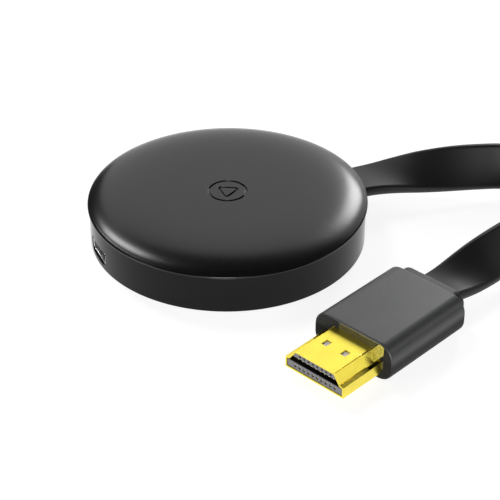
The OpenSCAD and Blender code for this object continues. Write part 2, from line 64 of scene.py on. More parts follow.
import bmesh
import bpy
from bpy.props import FloatProperty, FloatVectorProperty, IntProperty, PointerProperty
from mathutils import Matrix, Vector

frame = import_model()

MM = 0.001
UP = Vector((0, 0, 1))
# Edges and faces this close to a plane count as lying in it
HAIR = 0.01 * MM
# Posts start this far inside the floor, so that they join it
SINK = 0.2 * MM
# Cutters run this far past what they cut
PAST = MM

# What the frame fixes: the case's outer walls and seam, and where the plug's mouth is
BASE_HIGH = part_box("base_shell")[1]
COVER_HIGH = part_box("top_cover")[1]
BOARD_LOW, BOARD_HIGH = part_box("main_board")
SPREADER_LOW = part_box("heat_spreader")[0]
ANCHOR_LOW, ANCHOR_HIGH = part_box("cable_anchor")
PORT_LOW, PORT_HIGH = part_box("usb_shell")
TONGUE_LOW, TONGUE_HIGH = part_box("usb_tongue")
BASE_R = BASE_HIGH.x
COVER_R = COVER_HIGH.x
SEAM_Z = BASE_HIGH.z
MOUNTS = {mount["name"]: mount for mount in frame["record"]["mounts"]}
PLUG_BACK = -Vector(MOUNTS["display_plug"]["axis"])
PLUG_MOUTH = Vector(MOUNTS["display_plug"]["pos_m"])
PLUG_TURN = math.atan2(PLUG_BACK.y, PLUG_BACK.x)
PLUG_FRAME = (
    Matrix.Translation((PLUG_MOUTH.x, PLUG_MOUTH.y, 0))
    @ Matrix.Rotation(PLUG_TURN, 4, "Z")
)

# Middle line of the ribbon from the case wall: out, across, height and roll in degrees
ROUTE = [
    (-3.1, 0, 4.9, 0), (2, 0, 4.9, 0), (6, -0.4, 5, 4), (10, -1.2, 5.3, 14),
    (14, -2.4, 5.7, 28), (18, -3.8, 6.1, 42), (22, -5.2, 6.4, 53), (26, -6.7, 6.6, 60),
    (30.2, -8.4, 6.7, 64), (34.2, -10.7, 6.6, 72), (37.6, -13.8, 6.4, 80),
    (39.4, -17.8, 6.2, 88), (38.6, -22.2, 6.1, 96), (35.6, -25.8, 6, 104),
    (31.6, -28.4, 6, 110), (27.2, -30.4, 6, 115), (22.8, -32.1, 6, 120),
    (18.6, -33.7, 5.9, 126), (14.6, -35.1, 5.6, 133), (10.8, -36.4, 5.2, 143),
    (7.2, -37.5, 4.7, 157), (3.9, -38.4, 4.2, 171), (0.7, -39.3, 4, 180), (-2.3, -40.4, 4, 180),
]
ROUTE_START = (1, 0, 0)

# Posts and pegs inside the case, which stand where the frame's do
POST_TURNS = (75, 195, 315)
POST_RING = 20 * MM
POST_R = 2 * MM
ANCHOR_POST_SIDE = 5.8 * MM
ANCHOR_POST_R = 1.1 * MM
PEG_TURNS = (135, 255, 15)
PEG_RING = 17 * MM
PEG_R = 0.8 * MM
PEG_SINK = 0.9 * MM
# Rows of contacts in the port and the plug
PORT_CONTACTS = 5
PORT_PITCH = 0.65 * MM
PORT_CONTACT_W = 0.3 * MM
UPPER_CONTACTS = 9
LOWER_CONTACTS = 10
DARK_HOLES = 8


def length(name, description, default):
    """A size that the user may change, given in millimetres and kept in metres."""
    return FloatProperty(
        name=name, description=description, default=default * MM, min=0, unit="LENGTH",
        precision=5,
    )


def colour(name, description, default):
    """A linear colour that the user may change."""
    return FloatVectorProperty(
        name=name, description=description, default=default, size=3, subtype="COLOR",
        min=0.0, max=1.0,
    )


class PlayerCaseSizes(bpy.types.PropertyGroup):
    """Sizes of the case that the frame leaves open."""

    segments: IntProperty(
        name="Segments", description="Sides of the turned case", default=256, min=32
    )
    dome_rings: IntProperty(
        name="Dome rings", description="Rings on the cover's dome", default=26, min=6
    )
    flatness: FloatProperty(
        name="Flatness", description="How late the cover curves down", default=6.9, min=2
    )
    shoulder: FloatProperty(
        name="Shoulder", description="How round the shoulder is", default=1.5, min=0.5
    )
    wall: length("Wall", "Thickness of the base wall", 1.4)
    floor: length("Floor", "Thickness of the base floor", 1.2)
    cover: length("Cover", "Thickness of the cover's top", 1.2)
    foot: length("Foot radius", "Radius of the base's bottom edge", 0.3)
    rim: length("Rim radius", "Radius of the cover's rim", 0.32)
    seam_edge: length("Seam edge", "Bevel of the base's top edge", 0.12)
    lip: length("Lip", "Thickness of the cover's lip", 1.2)
    lip_depth: length("Lip depth", "Depth of the cover's lip", 1.5)
    lip_gap: length("Lip gap", "Gap between the lip and the base wall", 0.15)
    mark_ring: length("Mark ring", "Outer radius of the mark's ring", 4)
    mark_reach: length("Mark reach", "Reach of the triangle's round corners", 2.2)
    mark_corner: length("Mark corner", "Radius of the triangle's corners", 0.8)
    mark_width: length("Mark width", "Width of the mark's grooves", 0.45)
    mark_depth: length("Mark depth", "Depth of the mark's grooves", 0.3)
    mark_edge: length("Mark edge", "Bevel of the mark's edges", 0.06)
    port_gap: length("Port gap", "Gap round the port in the wall", 0.25)
    port_chamfer: length("Port chamfer", "Cut corners under the port's opening", 0.95)
    button_w: length("Button width", "Width of the button cap", 3.4)
    button_h: length("Button height", "Height of the button cap", 1.8)
    button_proud: length("Button stand-out", "How far the cap stands out of the wall", 0.3)
    button_gap: length("Button gap", "Gap round the cap in its hole", 0.15)
    light_r: length("Light radius", "Radius of the light guide", 0.6)
    light_gap: length("Light gap", "Gap round the light guide", 0.05)


class PlayerCableSizes(bpy.types.PropertyGroup):
    """Sizes of the ribbon cable."""

    width: length("Width", "Width of the ribbon", 9.6)
    thickness: length("Thickness", "Thickness of the ribbon", 2.2)
    edge: length("Edge", "How far the ribbon's edge is rounded", 0.7)
    slot_gap: length("Slot gap", "Gap round the ribbon in the wall", 0.25)
    steps: IntProperty(name="Steps", description="Rings between two points", default=6, min=2)


class PlayerPlugSizes(bpy.types.PropertyGroup):
    """Sizes of the display plug, from its mouth back."""

    shell_w: length("Shell width", "Width of the metal shell", 13.9)
    shell_h: length("Shell height", "Height of the metal shell", 4.45)
    shell_top_w: length("Top width", "Width of the shell's narrow top", 9.3)
    shell_low_h: length("Low height", "Height of the shell's wide part", 2.3)
    shell_ledge: length("Ledge", "Width of the ledge beside the sloped sides", 0.85)
    sheet: length("Sheet", "Thickness of the shell's metal", 0.3)
    shell_len: length("Shell length", "Length of the shell outside the housing", 10.5)
    shell_hidden: length("Hidden length", "Length of the shell in the housing", 4.6)
    housing_w: length("Housing width", "Width of the housing", 18.6)
    housing_h: length("Housing height", "Height of the housing", 8)
    housing_len: length("Housing length", "Length of the housing", 21.4)
    housing_r: length("Housing corner", "Radius of the housing's long edges", 3.2)
    housing_edge: length("Housing edge", "Radius of the housing's end edges", 0.4)
    collar_w: length("Collar width", "Width of the collar", 15)
    collar_h: length("Collar height", "Height of the collar", 6.8)
    collar_len: length("Collar length", "Length of the collar", 2.1)
    collar_r: length("Collar corner", "Radius of the collar's corners", 2.4)
    recess: length("Recess", "Depth of the insulator behind the mouth", 0.2)
    low_bar: length("Lower bar", "Height of the insulator's lower bar", 1.45)
    slot_h: length("Slot", "Height of the insulator's slot", 1.25)
    slot_depth: length("Slot depth", "Depth of the insulator's slot", 8.5)
    pitch: length("Pitch", "Distance between two contacts", 1.05)
    contact: length("Contact", "Width of a contact", 0.36)
    contact_hole: length("Contact hole", "Width of a contact's hole", 0.56)
    contact_recess: length("Contact recess", "How far a contact sits behind the mouth", 0.4)
    contact_tail: length("Contact tail", "How far a contact stands out behind the insulator", 2)
    dark_hole_depth: length("Hole depth", "Depth of the empty holes in the upper bar", 1.6)
    seam_line: length("Fold line", "Width of the lines along the shell's folds", 0.13)
    window_x: length("Window place", "Distance of the windows from the mouth", 5)
    window_len: length("Window length", "Length of a window", 1.6)
    window_w: length("Window width", "Width of a window", 1.25)
    window_spread: length("Window spacing", "Distance between the windows' middles", 4.45)
    slit_len: length("Slit length", "Length of the slits along the folds", 3)
    slit_w: length("Slit width", "Width of the slits along the folds", 0.25)
    side_slot_len: length("Ledge slot length", "Length of the slots in the ledges", 3.2)
    side_slot_w: length("Ledge slot width", "Width of the slots in the ledges", 0.6)


class PlayerColours(bpy.types.PropertyGroup):
    """Colours of what shows, in linear light."""

    cover: colour("Cover", "Satin top cover", (0.0025, 0.0026, 0.0027))
    base: colour("Base", "Glossy base wall", (0.0015, 0.0015, 0.0016))
    ribbon: colour("Ribbon", "Ribbon jacket", (0.003, 0.003, 0.0032))
    housing: colour("Housing", "Plug housing", (0.034, 0.0345, 0.0355))
    collar: colour("Collar", "Plug collar", (0.016, 0.016, 0.0165))
    gold: colour("Gold", "Plug shell", (0.96, 0.79, 0.1))
    insulator: colour("Insulator", "Plug insulator", (0.17, 0.17, 0.18))
    contact: colour("Contacts", "Gold-plated contacts", (0.9, 0.66, 0.3))
    steel: colour("Port", "Power port's shell", (0.9, 0.9, 0.91))


class PlayerStage(bpy.types.PropertyGroup):
    """Camera, floor and lights."""

    camera: FloatVectorProperty(
        name="Camera", description="Place of the camera", size=3, unit="LENGTH",
        default=(-0.1108, -0.27257, 0.19316), precision=5,
    )
    pitch: FloatProperty(
        name="Pitch", description="How far the camera looks down", subtype="ANGLE",
        default=math.radians(33.887),
    )
    heading: FloatProperty(
        name="Heading", description="Direction of view from +Y", subtype="ANGLE",
        default=math.radians(-23),
    )
    lens: FloatProperty(
        name="Lens", description="Focal length in millimetres", default=123.63, min=1
    )
    floor_side: FloatProperty(
        name="Floor", description="Side of the floor", default=6, unit="LENGTH"
    )


# ---------------------------------------------------------------- shader maths


class Wire:
    """A node's output that takes part in sums, so that shader maths reads as an expression."""

    def __init__(self, finish, socket):
        self.finish = finish
        self.socket = socket

    def _math(self, operation, first, second):
        return self.finish.node("ShaderNodeMath", {"operation": operation}, {0: first, 1: second})

    def __add__(self, other):
        return self._math("ADD", self, other)

    __radd__ = __add__

    def __sub__(self, other):
        return self._math("SUBTRACT", self, other)

    def __rsub__(self, other):
        return self._math("SUBTRACT", other, self)

    def __mul__(self, other):
        return self._math("MULTIPLY", self, other)

    __rmul__ = __mul__

    def __truediv__(self, other):
        return self._math("DIVIDE", self, other)

    def __rtruediv__(self, other):
        return self._math("DIVIDE", other, self)

    def below(self, other):
        return self._math("LESS_THAN", self, other)

    def above(self, other):
        return self._math("GREATER_THAN", self, other)


class Finish:
    """A material under construction: its nodes, and what is plugged into its shader."""

    def __init__(self, name, **constants):
        self.material = bpy.data.materials.new(name)
        self.material.use_nodes = True
        self.tree = self.material.node_tree
        self.shader = self.tree.nodes["Principled BSDF"]
        self.constant(**constants)

    def constant(self, **values):
        """Sets the shader's own sockets, named with underscores for spaces."""
        for name, value in values.items():
            self.shader.inputs[name.replace("_", " ")].default_value = value

    def node(self, kind, settings=None, inputs=None, output=0):
        """Adds a node: its settings first, then the values or wires of its sockets."""
        made = self.tree.nodes.new(kind)
        for name, value in (settings or {}).items():
            if name == "stops":
                self._stops(made.color_ramp, value)
            else:
                setattr(made, name, value)
        for name, value in (inputs or {}).items():
            self._fill(made.inputs[name], value)
        return Wire(self, made.outputs[output])

    def _fill(self, socket, value):
        if isinstance(value, Wire):
            self.tree.links.new(value.socket, socket)
        else:
            socket.default_value = value

    def _stops(self, ramp, stops):
        while len(ramp.elements) < len(stops):
            ramp.elements.new(0.5)
        for element, (place, tone) in zip(ramp.elements, stops):
            element.position = place
            element.color = (*tone, 1) if isinstance(tone, tuple) else (tone, tone, tone, 1)

    def plug(self, name, wire):
        """Links a wire to one of the shader's inputs."""
        self.tree.links.new(wire.socket, self.shader.inputs[name])

    def place(self, stretch=(1, 1, 1), turn=(0, 0, 0), where=(0, 0, 0)):
        """Object coordinates, moved, turned and stretched."""
        coordinates = self.node("ShaderNodeTexCoord", output="Object")
        return self.node(
            "ShaderNodeMapping", {},
            {"Vector": coordinates, "Location": where, "Rotation": turn, "Scale": stretch},
        )

    def axes(self, vector):
        """The three numbers of a vector."""
        split = self.node("ShaderNodeSeparateXYZ", {}, {0: vector})
        outputs = split.socket.node.outputs
        return [Wire(self, outputs[i]) for i in range(3)]

    def noise(self, grain, vector, detail=3.0, roughness=0.55):
        """Noise between 0 and 1 whose patches are about one grain, in metres, across."""
        return self.node(
            "ShaderNodeTexNoise", {},
            {"Vector": vector, "Scale": 1 / grain, "Detail": detail, "Roughness": roughness},
        )

    def ramp(self, wire, *stops):
        """A colour or grey that follows a number."""
        return self.node("ShaderNodeValToRGB", {"stops": stops}, {0: wire})

    def blend(self, factor, first, second):
        """A mix of two colours."""
        mixed = self.node(
            "ShaderNodeMix", {"data_type": "RGBA"}, {"Factor": factor}, output=2
        )
        node = mixed.socket.node
        for index, value in ((6, first), (7, second)):
            self._fill(node.inputs[index], value if isinstance(value, Wire) else (*value, 1))
        return mixed

    def paint(self, mask, tone, dark, light):
        """Colours the surface between a darker and a lighter shade of one tone."""
        self.plug("Base Color", self.blend(mask, shade(tone, dark), shade(tone, light)))

    def bump(self, *layers):
        """Stacks bumps, each a height from 0 to 1, a strength and a depth in metres."""
        below = None
        for height, strength, depth in layers:
            inputs = {"Height": height, "Strength": strength, "Distance": depth}
            if below is not None:
                inputs["Normal"] = below
            below = self.node("ShaderNodeBump", {}, inputs)
        self.plug("Normal", below)


def shade(tone, factor):
    """A colour made lighter or darker."""
    return tuple(min(1.0, channel * factor) for channel in tone)


def moulded_plastic(name, tone, roughness, grain=0.25 * MM, depth=0.02 * MM, spread=0.08,
                    **constants):
    """Moulded plastic: a spark-eroded grain, soft flow marks and slightly uneven gloss."""
    finish = Finish(name, **constants)
    place = finish.place()
    fine = finish.noise(grain, place, detail=4.0)
    flow = finish.noise(40 * grain, place, detail=2.0)
    wear_and_painted_shade = finish.noise(9 * grain, place, detail=5.0, roughness=0.7)
    finish.paint(finish.ramp(fine * 0.6 + flow * 0.4, (0.3, 0.0), (0.7, 1.0)), tone, 0.8, 1.25)
    finish.plug("Roughness", roughness - spread / 2 + fine * (spread * 0.6) + wear_and_painted_shade * (spread * 0.4))
    finish.bump((flow, 0.15, 0.4 * depth), (fine, 0.55, depth))
    return finish.material


def rolled_metal(name, tone, roughness, along=(0, 0, 0), grain=0.12 * MM, draw=12.0,
                 depth=0.004 * MM, spread=0.12, **constants):
    """Rolled or plated sheet: fine drawn lines along one direction and faint stains."""
    finish = Finish(name, Metallic=1.0, **constants)
    lines = finish.noise(grain, finish.place(stretch=(1 / draw, 1, 1), turn=along), detail=5.0)
    stain = finish.noise(25 * grain, finish.place(), detail=3.0)
    finish.paint(
        finish.ramp(stain * 0.7 + lines * 0.3, (0.35, 0.0), (0.65, 1.0)), tone, 0.93, 1.04
    )
    finish.plug(
        "Roughness", roughness - spread / 2 + lines * (spread * 0.5) + stain * (spread * 0.5)
    )
    finish.bump((lines, 0.3, depth))
    return finish.material


def soft_rubber(name, tone, roughness, grain=0.3 * MM, **constants):
    """Soft jacket plastic: a dry skin with faint blotches where it has been handled."""
    finish = Finish(name, **constants)
    place = finish.place()
    skin = finish.noise(grain, place, detail=5.0, roughness=0.6)
    handled = finish.noise(30 * grain, place, detail=3.0)
    finish.paint(
        finish.ramp(handled * 0.5 + skin * 0.5, (0.35, 0.0), (0.65, 1.0)), tone, 0.8, 1.25
    )
    finish.plug("Roughness", roughness - 0.05 + skin * 0.06 + handled * 0.06)
    finish.bump((handled, 0.1, 0.02 * MM), (skin, 0.4, 0.01 * MM))
    return finish.material


def circuit_board(name, tone, copper, **constants):
    """Solder mask over etched tracks, with round tinned vias."""
    finish = Finish(name, **constants)
    place = finish.place()
    cells = finish.node(
        "ShaderNodeTexBrick", {"offset": 0.5},
        {"Vector": place, "Scale": 1 / (3.2 * MM), "Mortar Size": 0.04, "Mortar Smooth": 0.1,
         "Color1": (0, 0, 0, 1), "Color2": (0, 0, 0, 1), "Mortar": (1, 1, 1, 1)},
    )
    bends = finish.node(
        "ShaderNodeTexVoronoi", {"feature": "DISTANCE_TO_EDGE"},
        {"Vector": place, "Scale": 1 / (2.6 * MM), "Randomness": 0.7},
    )
    dots = finish.node(
        "ShaderNodeTexVoronoi", {}, {"Vector": place, "Scale": 1 / (1.4 * MM), "Randomness": 0.9}
    )
    track = finish.ramp(bends, (0.02, 1.0), (0.05, 0.0)) * 0.6 + cells * 0.4
    via = dots.below(0.13)
    mask = finish.blend(track, tone, shade(tone, 1.9))
    finish.plug("Base Color", finish.blend(via, mask, copper))
    finish.plug("Metallic", via)
    finish.plug("Roughness", 0.3 + via * 0.1 + finish.noise(0.6 * MM, place) * 0.12)
    finish.bump((track, 0.4, 0.03 * MM), (via, 0.3, 0.02 * MM))
    return finish.material


def chip_epoxy(name, tone, **constants):
    """Moulded chip package: matt epoxy with a fine speckle of filler."""
    finish = Finish(name, **constants)
    place = finish.place()
    speckle = finish.node(
        "ShaderNodeTexVoronoi", {}, {"Vector": place, "Scale": 1 / (0.12 * MM)}
    )
    cloud = finish.noise(1.5 * MM, place)
    finish.paint(speckle.below(0.22) * 0.5 + cloud * 0.3, tone, 1, 2.2)
    finish.plug("Roughness", 0.5 + cloud * 0.15)
    finish.bump((speckle, 0.25, 0.01 * MM))
    return finish.material


# ---------------------------------------------------------------- modelling


def deselect():
    """Leaves nothing selected, in object mode."""
    if bpy.context.object is not None and bpy.context.object.mode != "OBJECT":
        bpy.ops.object.mode_set(mode="OBJECT")
    bpy.ops.object.select_all(action="DESELECT")


def choose(*objects):
    """Selects these objects only, with the first one active."""
    deselect()
    for item in objects:
        item.select_set(True)
    bpy.context.view_layer.objects.active = objects[0]


def edit(item, kind="FACE"):
    """Opens an object in edit mode with nothing selected."""
    choose(item)
    bpy.ops.object.mode_set(mode="EDIT")
    bpy.ops.mesh.select_mode(type=kind)
    bpy.ops.mesh.select_all(action="DESELECT")


def done():
    """Back to object mode."""
    bpy.ops.object.mode_set(mode="OBJECT")


def pick_faces(item, wanted):
    """Selects the faces for which wanted(centre, normal) is true."""
    mesh = bmesh.from_edit_mesh(item.data)
    for face in mesh.faces:
        face.select_set(wanted(face.calc_center_median(), face.normal))
    mesh.select_flush_mode()
    bmesh.update_edit_mesh(item.data)


def pick_edges(item, wanted):
    """Selects the edges for which wanted(first end, second end) is true."""
    mesh = bmesh.from_edit_mesh(item.data)
    for edge in mesh.edges:
        edge.select_set(wanted(edge.verts[0].co, edge.verts[1].co))
    mesh.select_flush_mode()
    bmesh.update_edit_mesh(item.data)


def lengthwise(a, b):
    """Whether an edge runs along X."""
    return abs(a.x - b.x) > MM


def before(x):
    """A test for edges that lie in front of a place along X."""
    return lambda a, b: max(a.x, b.x) < x + HAIR


def beyond(x):
    """A test for edges that lie behind a place along X."""
    return lambda a, b: min(a.x, b.x) > x - HAIR


def place_in_mesh(item):
    """Moves an object's place into its mesh."""
    choose(item)
    bpy.ops.object.transform_apply(location=True, rotation=True, scale=True)


def block(low, high, name="block"):
    """A box from its lowest to its highest corner."""
    deselect()
    low, high = Vector(low), Vector(high)
    bpy.ops.mesh.primitive_cube_add(size=1, location=(low + high) / 2)
    item = bpy.context.object
    item.name = name
    item.scale = high - low
    place_in_mesh(item)
    return item


def rod(radius, start, end, sides=48, name="rod"):
    """A cylinder between two points."""
    deselect()
    start, end = Vector(start), Vector(end)
    reach = end - start
    bpy.ops.mesh.primitive_cylinder_add(
        vertices=sides, radius=radius, depth=reach.length, location=(start + end) / 2,
        rotation=reach.to_track_quat("Z", "Y").to_euler(),
    )
    item = bpy.context.object
    item.name = name
    place_in_mesh(item)
    return item


def lathe(name, profile, sides):
    """Turns a profile of (radius, height) points about the Z axis, ring by ring."""
    deselect()
    radius, height = profile[0]
    bpy.ops.mesh.primitive_circle_add(
        vertices=sides, radius=radius, fill_type="NGON", location=(0, 0, height)
    )
    item = bpy.context.object
    item.name = name
    place_in_mesh(item)
    edit(item, "EDGE")
    bpy.ops.mesh.select_all(action="SELECT")
    for next_radius, next_height in profile[1:]:
        bpy.ops.mesh.extrude_edges_move(
            TRANSFORM_OT_translate={"value": (0, 0, next_height - height)}
        )
        ratio = next_radius / radius
        bpy.ops.transform.resize(value=(ratio, ratio, 1), center_override=(0, 0, 0))
        radius, height = next_radius, next_height
    bpy.ops.mesh.edge_face_add()
    bpy.ops.mesh.select_all(action="SELECT")
    bpy.ops.mesh.normals_make_consistent(inside=False)
    done()
    return item


def round_edges(item, wanted, radius, segments):
    """Bevels the edges for which wanted is true."""
    edit(item, "EDGE")
    pick_edges(item, wanted)
    bpy.ops.mesh.bevel(offset=radius, segments=segments, affect="EDGES", profile=0.5)
    done()


def join(items):
    """Makes one object of several."""
    if len(items) > 1:
        choose(*items)
        bpy.ops.object.join()
    return items[0]


def row_of(first, count, pitch):
    """A shape and its copies along Y, each with a mesh of its own."""
    row = [first]
    for index in range(1, count):
        twin = first.copy()
        twin.data = first.data.copy()
        bpy.context.scene.collection.objects.link(twin)
        twin.location.y += index * pitch
        row.append(twin)
    return row


def cut(item, *cutters, operation="DIFFERENCE"):
    """Cuts shapes out of an object, or adds them, and removes them."""
    cutter = join(cutters)
    choose(item)
    modifier = item.modifiers.new("cut", "BOOLEAN")
    modifier.operation = operation
    modifier.solver = "EXACT"
    modifier.object = cutter
    bpy.ops.object.modifier_apply(modifier=modifier.name)
    bpy.data.objects.remove(cutter)
    return item


def bevel_all(item, width, segments=2, angle=35):
    """Bevels every edge that is sharper than an angle."""
    choose(item)
    modifier = item.modifiers.new("edges", "BEVEL")
    modifier.width = width
    modifier.segments = segments
    modifier.limit_method = "ANGLE"
    modifier.angle_limit = math.radians(angle)
    modifier.use_clamp_overlap = True
    bpy.ops.object.modifier_apply(modifier=modifier.name)


def smooth(item, angle):
    """Smooth shading with sharp edges where faces turn more than an angle."""
    choose(item)
    bpy.ops.object.shade_smooth_by_angle(angle=math.radians(angle))
    modifier = item.modifiers.new("normals", "WEIGHTED_NORMAL")
    modifier.keep_sharp = True
    bpy.ops.object.modifier_apply(modifier=modifier.name)


def close(item, angle):
    """Merges doubles, points the faces outwards and shades the piece smooth."""
    edit(item, "VERT")
    bpy.ops.mesh.select_all(action="SELECT")
    bpy.ops.mesh.remove_doubles(threshold=0.0005 * MM)
    bpy.ops.mesh.normals_make_consistent(inside=False)
    done()
    smooth(item, angle)


def settle(item, name, material, node, body="case", angle=None):
    """Closes a finished piece, paints it, puts it on its body and hides what it replaces."""
    if angle is not None:
        close(item, angle)
    item.name = name
    item.data.name = name
    item.data.materials.clear()
    item.data.materials.append(material)
    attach(item, body)
    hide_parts(node)
    node_slot(node)


def put(item, matrix):
    """Moves a piece made in a frame of its own to its place, in its mesh."""
    item.matrix_world = matrix @ item.matrix_world
    place_in_mesh(item)
    return item


def node_slot(node):
    """The record's material slot of a CAD node."""
    rows = frame["record"]["subparts"]
    return next(row["material_slot"] for row in rows if row["node"] == node)


def round_case(angle):
    """The frame of something that stands at an angle round the case, facing +X."""
    return Matrix.Rotation(math.radians(angle), 4, "Z")


def angle_of(node):
    """The angle round the case, in degrees, at which a node stands."""
    low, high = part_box(node)
    middle = (low + high) / 2
    return math.degrees(math.atan2(middle.y, middle.x))


# ---------------------------------------------------------------- the ribbon


def between(a, b, c, d, t):
    """A point between b and c on the smooth curve through a, b, c and d."""
    return b + t * (
        (c - a) / 2 + t * (a - 2.5 * b + 2 * c - d / 2 + t * (3 * (b - c) + d - a) / 2)
    )


def ribbon_line(steps):
    """The ribbon's middle line with its roll, as four-part vectors, in metres and radians."""
    points = [
        Vector((BASE_R + x * MM, y * MM, z * MM, math.radians(roll))) for x, y, z, roll in ROUTE
    ]
    last = len(points) - 1
    line = []
    for start in range(last):
        a, b = points[max(start - 1, 0)], points[start]
        c, d = points[start + 1], points[min(start + 2, last)]
        line += [between(a, b, c, d, step / steps) for step in range(steps)]
    return line + [points[last]]


def ribbon_section(width, thickness, edge):
    """Outline of the ribbon: flat faces, round edges and a fine ridge along each edge."""
    half, thick = width / 2, thickness / 2
    arc = [math.radians(turn) for turn in (90, 66, 42, 20, 7)]
    corner = [
        (half - edge + edge * 0.93 * math.cos(turn), thick * math.sin(turn)) for turn in arc
    ]
    side = corner + [(half, 0)]
    faces = [(half * share, thick) for share in (0, 0.3, 0.6, 0.8)]
    quarter = faces + side
    top = [(-x, y) for x, y in reversed(quarter[1:])] + quarter
    return top + [(x, -y) for x, y in reversed(top[1:-1])]


class PLAYER_OT_ribbon(bpy.types.Operator):
    """Sweeps the ribbon cable along its route"""

    bl_idname = "player.ribbon"
    bl_label = "Ribbon cable"

    def execute(self, context):
        sizes = context.scene.player_cable
        line = ribbon_line(sizes.steps)
        section = ribbon_section(sizes.width, sizes.thickness, sizes.edge)
        count = len(section)
        path = [point.to_3d() for point in line]
        mesh = bpy.data.meshes.new("ribbon")
        shape = bmesh.new()
        uv = shape.loops.layers.uv.new("along")
        rings = []
        travelled = [0.0]
        for i, point in enumerate(line):
            before, after = path[max(i - 1, 0)], path[min(i + 1, len(path) - 1)]
            ahead = (after - before).normalized()
            if i == 0:
                ahead = Vector(ROUTE_START)
            elif i == len(line) - 1:
                ahead = -PLUG_BACK
            across = UP.cross(ahead).normalized()
            wide = across * math.cos(point.w) + ahead.cross(across) * math.sin(point.w)
            thick = ahead.cross(wide)
            rings.append([shape.verts.new(path[i] + wide * x + thick * y) for x, y in section])
            travelled.append(travelled[-1] + (after - path[i]).length)
        for i in range(len(rings) - 1):
            for j in range(count):
                k = (j + 1) % count
                face = shape.faces.new((rings[i][j], rings[i + 1][j], rings[i + 1][k], rings[i][k]))
                ends = ((i, j), (i + 1, j), (i + 1, j + 1), (i, j + 1))
                for loop, (ring, spoke) in zip(face.loops, ends):
                    loop[uv].uv = (travelled[ring] / sizes.width, spoke / count)
        shape.faces.new(rings[0])
        shape.faces.new(list(reversed(rings[-1])))
        bmesh.ops.recalc_face_normals(shape, faces=shape.faces)
        shape.to_mesh(mesh)
        shape.free()
        ribbon = bpy.data.objects.new("ribbon", mesh)
        context.scene.collection.objects.link(ribbon)
        smooth(ribbon, 50)
        tone = context.scene.player_colours.ribbon
        finish = ribbon_jacket("ribbon_jacket", tone)
        settle(ribbon, "ribbon", finish, "ribbon_cable")
        run = sum((b - a).length for a, b in zip(path, path[1:]))
        return {"FINISHED"}


def ribbon_jacket(name, tone):
    """Satin jacket: faint extrusion lines along the ribbon and a dry skin."""
    finish = Finish(name, Specular_IOR_Level=0.42)
    along = finish.node("ShaderNodeUVMap", {"uv_map": "along"})
    lines = finish.noise(
        0.02, finish.node("ShaderNodeMapping", {}, {"Vector": along, "Scale": (0.05, 1, 1)}),
        detail=4.0,
    )
    skin = finish.noise(0.3 * MM, finish.place(), detail=5.0)
    finish.paint(lines * 0.6 + skin * 0.4, tone, 0.7, 1.3)
    finish.plug("Roughness", 0.42 + skin * 0.08 + lines * 0.06)
    finish.bump((lines, 0.15, 0.006 * MM), (skin, 0.35, 0.004 * MM))
    return finish.material


# ---------------------------------------------------------------- the case


def dome(radius, rise, rings, sizes):
    """Points of a dome from near its middle to its rim, without the middle itself."""
    points = []
    for ring in range(rings + 1):
        turn = math.pi / 2 * ring / rings
        out = radius * math.sin(turn) ** (2 / sizes.flatness)
        points.append((out, SEAM_Z + rise * max(math.cos(turn), 0) ** (2 / sizes.shoulder)))
    return points[1:]


def corner_arc(middle, radius, first, last, steps=6):
    """Points of an arc about a (radius, height) point, between two angles in degrees."""
    turns = [math.radians(first + (last - first) * step / steps) for step in range(steps + 1)]
    return [(middle[0] + radius * math.cos(t), middle[1] + radius * math.sin(t)) for t in turns]


def groove_ring(radius, sides, corner, width, depth, top):
    """A closed ring of a round or a three-cornered outline, to cut a groove in the top."""
    deselect()
    bpy.ops.mesh.primitive_cylinder_add(
        vertices=sides, radius=radius, depth=4 * depth, location=(0, 0, top + depth),
        rotation=(0, 0, math.radians(-90)),
    )
    item = bpy.context.object
    place_in_mesh(item)
    if corner > 0:
        upright = lambda a, b: abs(a.z - b.z) > depth
        round_edges(item, upright, corner * math.sqrt(3), 10)
    edit(item)
    pick_faces(item, lambda centre, normal: abs(normal.z) > 0.9)
    bpy.ops.mesh.inset(thickness=width, use_even_offset=True)
    bpy.ops.mesh.delete(type="FACE")
    bpy.ops.mesh.select_mode(type="EDGE")
    bpy.ops.mesh.select_non_manifold()
    bpy.ops.mesh.bridge_edge_loops()
    bpy.ops.mesh.select_all(action="SELECT")
    bpy.ops.mesh.normals_make_consistent(inside=False)
    done()
    return item


def mark_cutters(sizes, top):
    """The mark: a ring round a small play triangle."""
    width, depth = sizes.mark_width, sizes.mark_depth
    sharp = sizes.mark_reach + sizes.mark_corner
    return (
        groove_ring(sizes.mark_ring, 128, 0, width, depth, top),
        groove_ring(sharp, 3, sizes.mark_corner, width, depth, top),
    )


